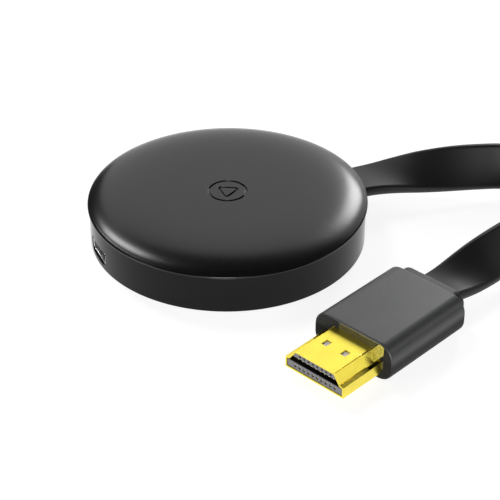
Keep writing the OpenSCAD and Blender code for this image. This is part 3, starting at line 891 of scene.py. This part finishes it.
class PLAYER_OT_cover(bpy.types.Operator):
    """Turns the domed cover, with its lip and pegs, and cuts its mark"""

    bl_idname = "player.cover"
    bl_label = "Top cover"

    def execute(self, context):
        sizes = context.scene.player_case
        top = COVER_HIGH.z
        rim = sizes.rim
        outside = dome(COVER_R + 0.95 * rim, top - SEAM_Z, sizes.dome_rings, sizes)
        outside = [point for point in outside if point[1] > SEAM_Z + 1.75 * rim]
        under_rim = corner_arc((COVER_R - rim, SEAM_Z + rim), rim, 45, -90, 10)
        lip_out = BASE_R - sizes.wall - sizes.lip_gap
        lip_in = lip_out - sizes.lip
        lip_low = SEAM_Z - sizes.lip_depth
        inside = dome(lip_in, top - sizes.cover - SEAM_Z, 10, sizes)
        profile = (
            outside + under_rim
            + [(lip_out, SEAM_Z), (lip_out, lip_low), (lip_in, lip_low)]
            + list(reversed(inside))
        )
        cover = lathe("cover", profile, sizes.segments)
        pegs = [rod(PEG_R, low, high, 32) for low, high in peg_places()]
        cut(cover, *pegs, operation="UNION")
        cut(cover, *mark_cutters(sizes, top))

        def near_mark(a, b):
            """Whether an edge borders the mark, on the cover's top."""
            reach, low = 1.1 * sizes.mark_ring, top - 2 * HAIR
            return all(point.to_2d().length < reach and point.z > low for point in (a, b))

        round_edges(cover, near_mark, sizes.mark_edge, 2)
        tone = context.scene.player_colours.cover
        finish = moulded_plastic(
            "satin_cover", tone, 0.23, grain=0.22 * MM, depth=0.004 * MM,
            Specular_IOR_Level=0.36,
        )
        settle(cover, "cover", finish, "top_cover", angle=40)
        return {"FINISHED"}


def peg_places():
    """Both ends of each peg that holds the heat spreader to the cover."""
    for turn in PEG_TURNS:
        place = round_case(turn) @ Vector((PEG_RING, 0, 0))
        yield place + UP * SPREADER_LOW.z, place + UP * (COVER_HIGH.z - PEG_SINK)


def wall_cutter_port(gap, chamfer):
    """A prism of the port's outline, a gap larger, through the wall."""
    low = Vector((-BASE_R - PAST, PORT_LOW.y - gap, PORT_LOW.z - gap))
    high = Vector((-BASE_R + 4 * MM, PORT_HIGH.y + gap, PORT_HIGH.z + gap))
    item = block(low, high)
    round_edges(item, lambda a, b: lengthwise(a, b) and max(a.z, b.z) < PORT_LOW.z, chamfer, 1)
    round_edges(item, lambda a, b: lengthwise(a, b) and min(a.z, b.z) > PORT_HIGH.z, gap, 3)
    return item


def racetrack(width, height, start, end, z, matrix):
    """A bar with half-round sides, drawn along +X and turned to its place."""
    item = block((start, -width / 2, z - height / 2), (end, width / 2, z + height / 2))
    round_edges(item, lengthwise, height / 2 - HAIR, 10)
    return put(item, matrix)


class PLAYER_OT_base(bpy.types.Operator):
    """Turns the base with its wall and floor, adds its posts and cuts its openings"""

    bl_idname = "player.base"
    bl_label = "Base"

    def execute(self, context):
        sizes = context.scene.player_case
        cable = context.scene.player_cable
        foot, edge = sizes.foot, sizes.seam_edge
        inner = BASE_R - sizes.wall
        profile = (
            [(4 * MM, 0)]
            + corner_arc((BASE_R - foot, foot), foot, -90, 0, 8)
            + corner_arc((BASE_R - edge, SEAM_Z - edge), edge, 0, 90, 3)
            + [(inner, SEAM_Z), (inner, sizes.floor), (4 * MM, sizes.floor)]
        )
        base = lathe("base", profile, sizes.segments)
        posts = []
        foot_z = UP * (sizes.floor - SINK)
        for turn in POST_TURNS:
            place = round_case(turn) @ Vector((POST_RING, 0, 0))
            posts.append(rod(POST_R, place + foot_z, place + UP * BOARD_LOW.z))
        anchor_x = (ANCHOR_LOW.x + ANCHOR_HIGH.x) / 2
        for side in (-ANCHOR_POST_SIDE, ANCHOR_POST_SIDE):
            place = Vector((anchor_x, side, 0))
            posts.append(rod(ANCHOR_POST_R, place + foot_z, place + UP * ANCHOR_LOW.z))
        cut(base, *posts, operation="UNION")
        cutters = [wall_cutter_port(sizes.port_gap, sizes.port_chamfer)]
        button_low, button_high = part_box("button_cap")
        button_z = (button_low.z + button_high.z) / 2
        inside, outside = BASE_R - 3 * MM, BASE_R + PAST
        cutters.append(racetrack(
            sizes.button_w + 2 * sizes.button_gap, sizes.button_h + 2 * sizes.button_gap,
            inside, outside, button_z, round_case(angle_of("button_cap")),
        ))
        light = round_case(angle_of("light_guide"))
        cutters.append(rod(
            sizes.light_r + sizes.light_gap, light @ Vector((inside, 0, button_z)),
            light @ Vector((outside, 0, button_z)), 32,
        ))
        slot_half = Vector((
            0, cable.width / 2 + cable.slot_gap, cable.thickness / 2 + cable.slot_gap
        ))
        slot_z = ROUTE[0][2] * MM
        slot_cutter = block(
            Vector((inside, 0, slot_z)) - slot_half, Vector((outside, 0, slot_z)) + slot_half
        )
        round_edges(slot_cutter, lengthwise, cable.edge, 5)
        cutters.append(slot_cutter)
        cut(base, *cutters)
        tone = context.scene.player_colours.base
        finish = moulded_plastic(
            "gloss_base", tone, 0.07, grain=0.5 * MM, depth=0.001 * MM, spread=0.04,
            Specular_IOR_Level=0.19,
        )
        settle(base, "base", finish, "base_shell", angle=40)
        return {"FINISHED"}


class PLAYER_OT_port(bpy.types.Operator):
    """Folds the power port's metal shell and rounds its tongue and contacts"""

    bl_idname = "player.port"
    bl_label = "Power port"

    def execute(self, context):
        sheet = 0.3 * MM
        shell = block(PORT_LOW, PORT_HIGH)
        middle_z = (PORT_LOW.z + PORT_HIGH.z) / 2
        lower = lambda a, b: lengthwise(a, b) and max(a.z, b.z) < middle_z
        round_edges(shell, lower, 0.7 * MM, 2)
        upper = lambda a, b: lengthwise(a, b) and min(a.z, b.z) > middle_z
        round_edges(shell, upper, 0.35 * MM, 4)
        edit(shell)
        pick_faces(shell, lambda centre, normal: normal.x < -0.9)
        bpy.ops.mesh.inset(thickness=sheet, use_even_offset=True)
        bpy.ops.mesh.extrude_region_move(
            TRANSFORM_OT_translate={"value": (PORT_HIGH.x - PORT_LOW.x - sheet, 0, 0)}
        )
        done()
        round_edges(shell, before(PORT_LOW.x), 0.08 * MM, 3)
        finish = rolled_metal("port_tin", context.scene.player_colours.steel, 0.22)
        settle(shell, "port_shell", finish, "usb_shell", angle=40)

        tongue = block(TONGUE_LOW, TONGUE_HIGH)
        bevel_all(tongue, 0.12 * MM, 3)
        finish = moulded_plastic("port_plastic", (0.012, 0.012, 0.013), 0.45)
        settle(tongue, "port_tongue", finish, "usb_tongue", angle=35)

        low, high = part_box("usb_contacts")
        strip = block(low, (high.x, low.y + PORT_CONTACT_W, high.z))
        bevel_all(strip, 0.04 * MM, 2)
        strips = join(row_of(strip, PORT_CONTACTS, PORT_PITCH))
        finish = rolled_metal("port_gold", context.scene.player_colours.contact, 0.25)
        settle(strips, "port_contacts", finish, "usb_contacts", angle=35)
        return {"FINISHED"}


class PLAYER_OT_button(bpy.types.Operator):
    """Shapes the button cap and the light guide beside it"""

    bl_idname = "player.button"
    bl_label = "Button and light"

    def execute(self, context):
        sizes = context.scene.player_case
        low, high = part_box("button_cap")
        z = (low.z + high.z) / 2
        turn = round_case(angle_of("button_cap"))
        outer = BASE_R + sizes.button_proud
        flange_x = BASE_R - 1.85 * MM
        flange_t = 0.8 * MM
        stem_half = 0.6 * MM
        half_w, half_h = sizes.button_w / 2 + stem_half, sizes.button_h / 2 + flange_t / 2
        cap = racetrack(sizes.button_w, sizes.button_h, flange_x, outer, z, Matrix.Identity(4))
        round_edges(cap, beyond(outer), 0.2 * MM, 4)
        flange = block((flange_x - flange_t, -half_w, z - half_h), (flange_x, half_w, z + half_h))
        bevel_all(flange, 0.2 * MM, 3)
        stem = block(
            (BASE_R - 3.1 * MM, -stem_half, z - stem_half),
            (BASE_R - 2.4 * MM, stem_half, z + stem_half),
        )
        cut(cap, flange, stem, operation="UNION")
        put(cap, turn)
        finish = moulded_plastic(
            "gloss_button", (0.01, 0.0102, 0.011), 0.2, grain=0.3 * MM, depth=0.003 * MM
        )
        settle(cap, "button", finish, "button_cap", body="button", angle=40)

        turn = round_case(angle_of("light_guide"))
        inner = BOARD_HIGH.y - 0.1 * MM
        front = BASE_R - 0.15 * MM
        guide = rod(sizes.light_r, (inner, 0, z), (front, 0, z), 32)
        round_edges(guide, beyond(front), 0.18 * MM, 4)
        put(guide, turn)
        finish = moulded_plastic(
            "clear_guide", (0.7, 0.74, 0.76), 0.15, depth=0.002 * MM, Transmission_Weight=0.6
        )
        settle(guide, "light", finish, "light_guide", angle=35)
        return {"FINISHED"}


# ---------------------------------------------------------------- the plug


def shell_blank(plug, start, end, inset=0.0):
    """The plug shell's solid outline between two places, shrunk by an inset."""
    base_z = (plug.housing_h - plug.shell_h) / 2
    half = plug.shell_w / 2 - inset
    ledge_z = base_z + plug.shell_low_h - inset
    item = block((start, -half, base_z + inset), (end, half, ledge_z))
    middle_z = Vector((0, 0, ledge_z))
    top_face = lambda centre, normal: normal.z > 0.9 and centre.z > ledge_z - HAIR
    edit(item)
    pick_faces(item, top_face)
    bpy.ops.mesh.extrude_region_move(
        TRANSFORM_OT_translate={"value": (0, 0, plug.shell_ledge / 4)}
    )
    neck = plug.shell_w / 2 - plug.shell_ledge - inset / 2
    bpy.ops.transform.resize(value=(1, neck / half, 1), center_override=middle_z)
    rise = base_z + plug.shell_h - inset - ledge_z - plug.shell_ledge / 4
    bpy.ops.mesh.extrude_region_move(TRANSFORM_OT_translate={"value": (0, 0, rise)})
    crown = plug.shell_top_w / 2 - inset / 3
    bpy.ops.transform.resize(value=(1, crown / neck, 1), center_override=middle_z)
    bpy.ops.mesh.select_all(action="DESELECT")
    for sign in (-1, 1):
        pick_faces(item, lambda centre, normal: normal.x * sign > 0.9)
        bpy.ops.mesh.dissolve_faces()
    done()
    return item


def plug_axes(finish):
    """How far behind the mouth, across and up a point of the plug is, in metres."""
    # A Point mapping turns before it moves, so the mouth's place is turned back first
    mouth = Matrix.Rotation(-PLUG_TURN, 3, "Z") @ PLUG_MOUTH
    place = finish.place(turn=(0, 0, -PLUG_TURN), where=(-mouth.x, -mouth.y, 0))
    return finish.axes(place)


def housing_plastic(name, tone, plug):
    """Grained plastic, polished where it mirrors the gold shell; its front face is rougher and
    painted nearly black as painted shade, and its lower part is rougher and painted darker as
    painted shade.
    """
    finish = Finish(name, Specular_IOR_Level=0.6, Coat_IOR=1.8, Coat_Roughness=0.1)
    back, across, height = plug_axes(finish)
    far, near = plug.shell_top_w / 2 - 1.2 * MM, -plug.shell_w / 2 - 0.3 * MM
    low = (plug.housing_h - plug.shell_h) / 2 + 0.8 * MM
    face = back.below(plug.shell_len + 0.05 * MM)
    mirror = face * across.below(far) * across.above(near) * height.above(low)
    place = finish.place()
    fine = finish.noise(0.28 * MM, place, detail=4.0)
    pits = finish.noise(0.7 * MM, place, detail=2.0)
    flow = finish.noise(9 * MM, place, detail=2.0)
    grained = finish.blend(
        finish.ramp(fine * 0.6 + flow * 0.4, (0.3, 0.0), (0.7, 1.0)),
        shade(tone, 0.6), shade(tone, 1.5),
    )
    # Painted shade: the housing is painted darker, and made rougher, towards the bottom
    dull_and_shaded = finish.ramp(height / plug.housing_h, (0.48, 1.0), (0.66, 0.0))
    wear_and_painted_shade = finish.blend(dull_and_shaded, grained, shade(tone, 0.15))
    # Painted shade: the front face is painted nearly black over the grain
    finish.plug("Base Color", finish.blend(face, wear_and_painted_shade, shade(tone, 0.05)))
    finish.plug("Roughness", 0.33 + fine * 0.1 + pits * 0.06 + face * 0.4 + dull_and_shaded * 0.4)
    finish.plug("Coat Weight", mirror)
    finish.bump((pits, 0.3, 0.008 * MM), (fine, 0.6, 0.009 * MM))
    return finish.material


class PLAYER_OT_plug_body(bpy.types.Operator):
    """Rounds the plug's housing and the collar behind it"""

    bl_idname = "player.plug_body"
    bl_label = "Plug housing"

    def execute(self, context):
        plug = context.scene.player_plug
        tones = context.scene.player_colours
        start = plug.shell_len
        end = start + plug.housing_len
        half = plug.housing_w / 2
        housing = block((start, -half, 0), (end, half, plug.housing_h))
        round_edges(housing, lengthwise, plug.housing_r, 14)
        ends = lambda a, b: before(start)(a, b) or beyond(end)(a, b)
        round_edges(housing, ends, plug.housing_edge, 4)
        cut(housing, shell_blank(plug, start - PAST, start + plug.shell_hidden))
        put(housing, PLUG_FRAME)
        finish = housing_plastic("housing_grain", tones.housing, plug)
        settle(housing, "plug_body", finish, "plug_housing", angle=40)

        half = plug.collar_w / 2
        back = end + plug.collar_len
        low_z = ROUTE[-1][2] * MM - plug.collar_h / 2
        collar = block((end - SINK, -half, low_z), (back, half, low_z + plug.collar_h))
        round_edges(collar, lengthwise, plug.collar_r, 12)
        round_edges(collar, beyond(back), 0.5 * MM, 5)
        put(collar, PLUG_FRAME)
        finish = soft_rubber("collar_rubber", tones.collar, 0.42)
        settle(collar, "plug_back", finish, "plug_collar", angle=40)
        return {"FINISHED"}


class PLAYER_OT_plug_metal(bpy.types.Operator):
    """Folds the plug's gold shell and cuts its windows, slits and fold lines"""

    bl_idname = "player.plug_metal"
    bl_label = "Plug shell"

    def execute(self, context):
        plug = context.scene.player_plug
        end = plug.shell_len + plug.shell_hidden
        base_z = (plug.housing_h - plug.shell_h) / 2
        top_z = base_z + plug.shell_h
        ledge_z = base_z + plug.shell_low_h
        shell = shell_blank(plug, 0, end)
        cut(shell, shell_blank(plug, -PAST, end + PAST, plug.sheet))
        cutters = []
        sheet_cut = 1.5 * plug.sheet
        line = plug.seam_line

        def trench(start, end, middle, width, low, high=top_z + PAST):
            """A cutter along the shell, over one place across it."""
            return block((start, middle - width / 2, low), (end, middle + width / 2, high))

        for side in (-1, 1):
            fold = side * plug.shell_top_w / 2
            shelf = side * (plug.shell_w - plug.shell_ledge) / 2
            neck = side * (plug.shell_w / 2 - plug.shell_ledge)
            window_end = plug.window_x + plug.window_len
            slit_start = plug.shell_len - plug.slit_len
            slot_start = plug.shell_len - plug.side_slot_len
            line_low = ledge_z + plug.shell_ledge / 4 - line
            window_y = side * plug.window_spread / 2
            slot_low = ledge_z - sheet_cut
            cutters += [
                trench(plug.window_x, window_end, window_y, plug.window_w, top_z - sheet_cut),
                trench(slit_start, plug.shell_len, fold, plug.slit_w, top_z - sheet_cut),
                trench(
                    slot_start, plug.shell_len, shelf, plug.side_slot_w, slot_low, slot_low + PAST
                ),
                trench(plug.sheet, slot_start, fold, line, top_z - line),
                trench(plug.sheet, slot_start - SINK, neck, line, line_low, ledge_z + PAST),
            ]
        cut(shell, *cutters)
        # The shell's slopes meet at flat angles, so a lower limit than usual takes them in
        bevel_all(shell, 0.05 * MM, 2, angle=28)
        put(shell, PLUG_FRAME)
        gold = context.scene.player_colours.gold
        finish = rolled_metal("plug_gold", gold, 0.26, along=(0, 0, -PLUG_TURN), spread=0.06)
        settle(shell, "plug_metal", finish, "plug_shell", angle=30)
        return {"FINISHED"}


def slotted_plastic(name, tone, front, low, high):
    """Grey plastic, painted nearly black in its slot as painted shade and painted pale where the
    shell's windows show it as painted light.
    """
    finish = Finish(name, Specular_IOR_Level=0.3)
    back, _, height = plug_axes(finish)
    margin = 0.03 * MM
    # Painted shade: the slot is painted nearly black
    slot = height.above(low - margin) * height.below(high + margin) * back.above(front)
    place = finish.place()
    fine = finish.noise(0.2 * MM, place, detail=4.0)
    flow = finish.noise(3 * MM, place, detail=2.0)
    # Painted light: the insulator is painted pale where the shell's windows show it
    painted_window_light = height.above(high + margin) * back.above(front + 2 * MM)
    grey = finish.blend(fine * 0.5 + flow * 0.5, shade(tone, 0.85), shade(tone, 1.15))
    pale = finish.blend(painted_window_light, grey, (0.85, 0.85, 0.87))
    finish.plug("Base Color", finish.blend(slot, pale, (0.006, 0.006, 0.006)))
    finish.plug("Roughness", 0.45 + fine * 0.1)
    finish.bump((flow, 0.1, 0.005 * MM), (fine, 0.4, 0.004 * MM))
    return finish.material


class PLAYER_OT_plug_inside(bpy.types.Operator):
    """Makes the plug's insulator with its slot and holes, and its two rows of contacts"""

    bl_idname = "player.plug_inside"
    bl_label = "Plug insulator and contacts"

    def execute(self, context):
        plug = context.scene.player_plug
        tones = context.scene.player_colours
        base_z = (plug.housing_h - plug.shell_h) / 2
        back = plug.shell_len + plug.shell_hidden - MM
        slot_z = base_z + plug.sheet + plug.low_bar
        slot_top = slot_z + plug.slot_h
        low_z = base_z + plug.sheet + plug.low_bar / 2
        high_z = slot_top - plug.contact / 2
        dark_z = (slot_top + base_z + plug.shell_h - plug.sheet) / 2
        core = shell_blank(plug, plug.recess, back, plug.sheet)

        def bars(start, end, side, z, count, edge=0.0):
            """A row of square bars along the plug, with rounded ends if they have an edge."""
            y, half = (1 - count) / 2 * plug.pitch, side / 2
            first = block((start, y - half, z - half), (end, y + half, z + half))
            if edge > 0:
                round_edges(first, before(start), edge, 3)
            return row_of(first, count, plug.pitch)

        cutters = [block(
            (0, -plug.shell_w / 2, slot_z), (plug.slot_depth, plug.shell_w / 2, slot_top)
        )]
        cutters += bars(0, plug.slot_depth, plug.contact_hole, low_z, LOWER_CONTACTS)
        dark_end = plug.recess + plug.dark_hole_depth
        cutters += bars(0, dark_end, plug.contact_hole, dark_z, DARK_HOLES)
        cut(core, *cutters)
        bevel_all(core, 0.04 * MM, 2)
        put(core, PLUG_FRAME)
        finish = slotted_plastic(
            "insulator_plastic", tones.insulator, plug.recess + 0.15 * MM, slot_z, slot_top
        )
        settle(core, "plug_core", finish, "plug_insulator", angle=30)

        gold = rolled_metal("contact_gold", tones.contact, 0.28, spread=0.08)
        rows = (
            ("plug_pins_upper", "plug_contacts_upper", UPPER_CONTACTS, high_z),
            ("plug_pins_lower", "plug_contacts_lower", LOWER_CONTACTS, low_z),
        )
        for name, node, count, z in rows:
            pins = join(bars(
                plug.contact_recess, back + plug.contact_tail, plug.contact, z, count, 0.12 * MM
            ))
            put(pins, PLUG_FRAME)
            settle(pins, name, gold, node, angle=35)
        return {"FINISHED"}


# ---------------------------------------------------------------- what stays from the frame


class PLAYER_OT_inner_finishes(bpy.types.Operator):
    """Gives each carried-over part of the frame its material"""

    bl_idname = "player.inner_finishes"
    bl_label = "Inner finishes"

    def execute(self, context):
        finishes = {
            "board_green": circuit_board("board_mask", (0.012, 0.09, 0.04), (0.7, 0.45, 0.2)),
            "screw_steel": rolled_metal("screw_steel", (0.6, 0.6, 0.62), 0.3),
            "chip_black": chip_epoxy("chip_epoxy", (0.015, 0.016, 0.018)),
            "shield_tin": rolled_metal("shield_tin", (0.62, 0.63, 0.65), 0.32),
            "pad_blue": soft_rubber("thermal_pad", (0.2, 0.33, 0.5), 0.7),
            "spreader_aluminium": rolled_metal("spreader_aluminium", (0.7, 0.71, 0.73), 0.38),
            "inductor_grey": chip_epoxy("inductor_powder", (0.06, 0.06, 0.065)),
            "capacitor_tan": moulded_plastic("capacitor_ceramic", (0.38, 0.25, 0.13), 0.5),
            "crystal_metal": rolled_metal("crystal_lid", (0.7, 0.71, 0.73), 0.25),
            "antenna_brass": rolled_metal("antenna_brass", (0.65, 0.5, 0.25), 0.33),
            "switch_black": moulded_plastic("switch_body", (0.02, 0.02, 0.022), 0.5),
            "plunger_cream": moulded_plastic("plunger_cream", (0.6, 0.56, 0.46), 0.5),
            "led_white": moulded_plastic("led_resin", (0.75, 0.74, 0.66), 0.3),
            "anchor_black": soft_rubber("anchor_rubber", (0.016, 0.016, 0.017), 0.55),
            "clamp_steel": rolled_metal("clamp_steel", (0.55, 0.56, 0.58), 0.34),
            "connector_cream": moulded_plastic("connector_cream", (0.62, 0.58, 0.47), 0.45),
            "conductor_copper": rolled_metal("bare_copper", (0.8, 0.38, 0.2), 0.3),
        }
        for name, item in frame["nodes"].items():
            slot = node_slot(name)
            if not item.hide_render:
                item.data.materials.clear()
                item.data.materials.append(finishes[slot])
        return {"FINISHED"}


# ---------------------------------------------------------------- the stage


def softbox(name, target, azimuth, elevation, distance, width, height, radiance):
    """A soft rectangular light of a given brightness, seen from the target at two angles."""
    a, e = math.radians(azimuth), math.radians(elevation)
    away = Vector((math.cos(a) * math.cos(e), math.sin(a) * math.cos(e), math.sin(e)))
    data = bpy.data.lights.new(name, "AREA")
    data.shape = "RECTANGLE"
    data.size, data.size_y = width, height
    data.energy = radiance * math.pi * width * height
    lamp = bpy.data.objects.new(name, data)
    bpy.context.scene.collection.objects.link(lamp)
    lamp.location = Vector(target) + away * distance
    lamp.rotation_euler = away.to_track_quat("Z", "Y").to_euler()
    return lamp


class PLAYER_OT_stage(bpy.types.Operator):
    """Sets up the camera, the pale floor and the soft lights"""

    bl_idname = "player.stage"
    bl_label = "Stage"

    def execute(self, context):
        stage = context.scene.player_stage
        scene = context.scene
        data = bpy.data.cameras.new("camera")
        data.lens = stage.lens
        data.sensor_width = 36
        data.clip_start, data.clip_end = 0.01, 20
        camera = bpy.data.objects.new("camera", data)
        scene.collection.objects.link(camera)
        camera.location = stage.camera
        camera.rotation_euler = (math.pi / 2 - stage.pitch, 0, stage.heading)
        scene.camera = camera

        deselect()
        bpy.ops.mesh.primitive_plane_add(size=stage.floor_side, location=(0, 0, 0))
        floor = context.object
        floor.name = "floor"
        paper = Finish("floor_paper", Roughness=0.9, Specular_IOR_Level=0.1)
        paper.constant(Emission_Color=(1, 1, 1, 1), Emission_Strength=0.86)
        tint = paper.noise(0.4, paper.place(), detail=2.0)
        paper.plug("Base Color", paper.blend(tint, (0.3, 0.3, 0.305), (0.33, 0.33, 0.335)))
        floor.data.materials.append(paper.material)

        scene.view_settings.view_transform = "Standard"
        world = bpy.data.worlds.new("studio")
        world.use_nodes = True
        world.node_tree.nodes["Background"].inputs["Color"].default_value = (1, 1, 1, 1)
        world.node_tree.nodes["Background"].inputs["Strength"].default_value = 0.06
        scene.world = world

        heading = math.degrees(stage.heading)
        behind = 90 + heading
        target = (0.015, -0.02, 0.005)
        softbox("back", target, behind - 10, 24, 0.95, 1.05, 0.8, 1.1)
        softbox("right", target, behind - 20, 28, 0.85, 0.15, 0.26, 13)
        softbox("left", target, behind + 41, 46, 0.85, 0.14, 0.26, 17)
        softbox("right_side", target, behind - 94, 26, 0.8, 0.4, 0.26, 1.7)
        softbox("left_side", target, behind + 110, 20, 0.8, 0.3, 0.3, 5)
        softbox("front_low", target, behind + 176, 9, 0.9, 0.3, 0.2, 26)
        return {"FINISHED"}


class PLAYER_PT_sidebar(bpy.types.Panel):
    """Lists the player's pieces and sizes"""

    bl_label = "Media player"
    bl_idname = "PLAYER_PT_sidebar"
    bl_space_type = "VIEW_3D"
    bl_region_type = "UI"
    bl_category = "Player"

    def draw(self, context):
        layout = self.layout
        for operator in OPERATORS:
            layout.operator(operator.bl_idname)
        for name in GROUPS:
            group = getattr(context.scene, name)
            box = layout.box()
            box.label(text=type(group).__doc__)
            for key in type(group).__annotations__:
                box.prop(group, key)


OPERATORS = (
    PLAYER_OT_stage,
    PLAYER_OT_cover,
    PLAYER_OT_base,
    PLAYER_OT_port,
    PLAYER_OT_button,
    PLAYER_OT_plug_body,
    PLAYER_OT_plug_metal,
    PLAYER_OT_plug_inside,
    PLAYER_OT_ribbon,
    PLAYER_OT_inner_finishes,
)
GROUPS = {
    "player_case": PlayerCaseSizes,
    "player_cable": PlayerCableSizes,
    "player_plug": PlayerPlugSizes,
    "player_colours": PlayerColours,
    "player_stage": PlayerStage,
}


def register():
    """Registers the groups, operators and panel."""
    for group in GROUPS.values():
        bpy.utils.register_class(group)
    for operator in OPERATORS:
        bpy.utils.register_class(operator)
    bpy.utils.register_class(PLAYER_PT_sidebar)
    for name, group in GROUPS.items():
        setattr(bpy.types.Scene, name, PointerProperty(type=group))


def unregister():
    """Removes what register added."""
    for name in GROUPS:
        delattr(bpy.types.Scene, name)
    bpy.utils.unregister_class(PLAYER_PT_sidebar)
    for operator in reversed(OPERATORS):
        bpy.utils.unregister_class(operator)
    for group in reversed(list(GROUPS.values())):
        bpy.utils.unregister_class(group)


def main():
    """Builds the whole player."""
    register()
    for operator in OPERATORS:
        group, name = operator.bl_idname.split(".")
        getattr(getattr(bpy.ops, group), name)()


if __name__ == "__main__":
    main()
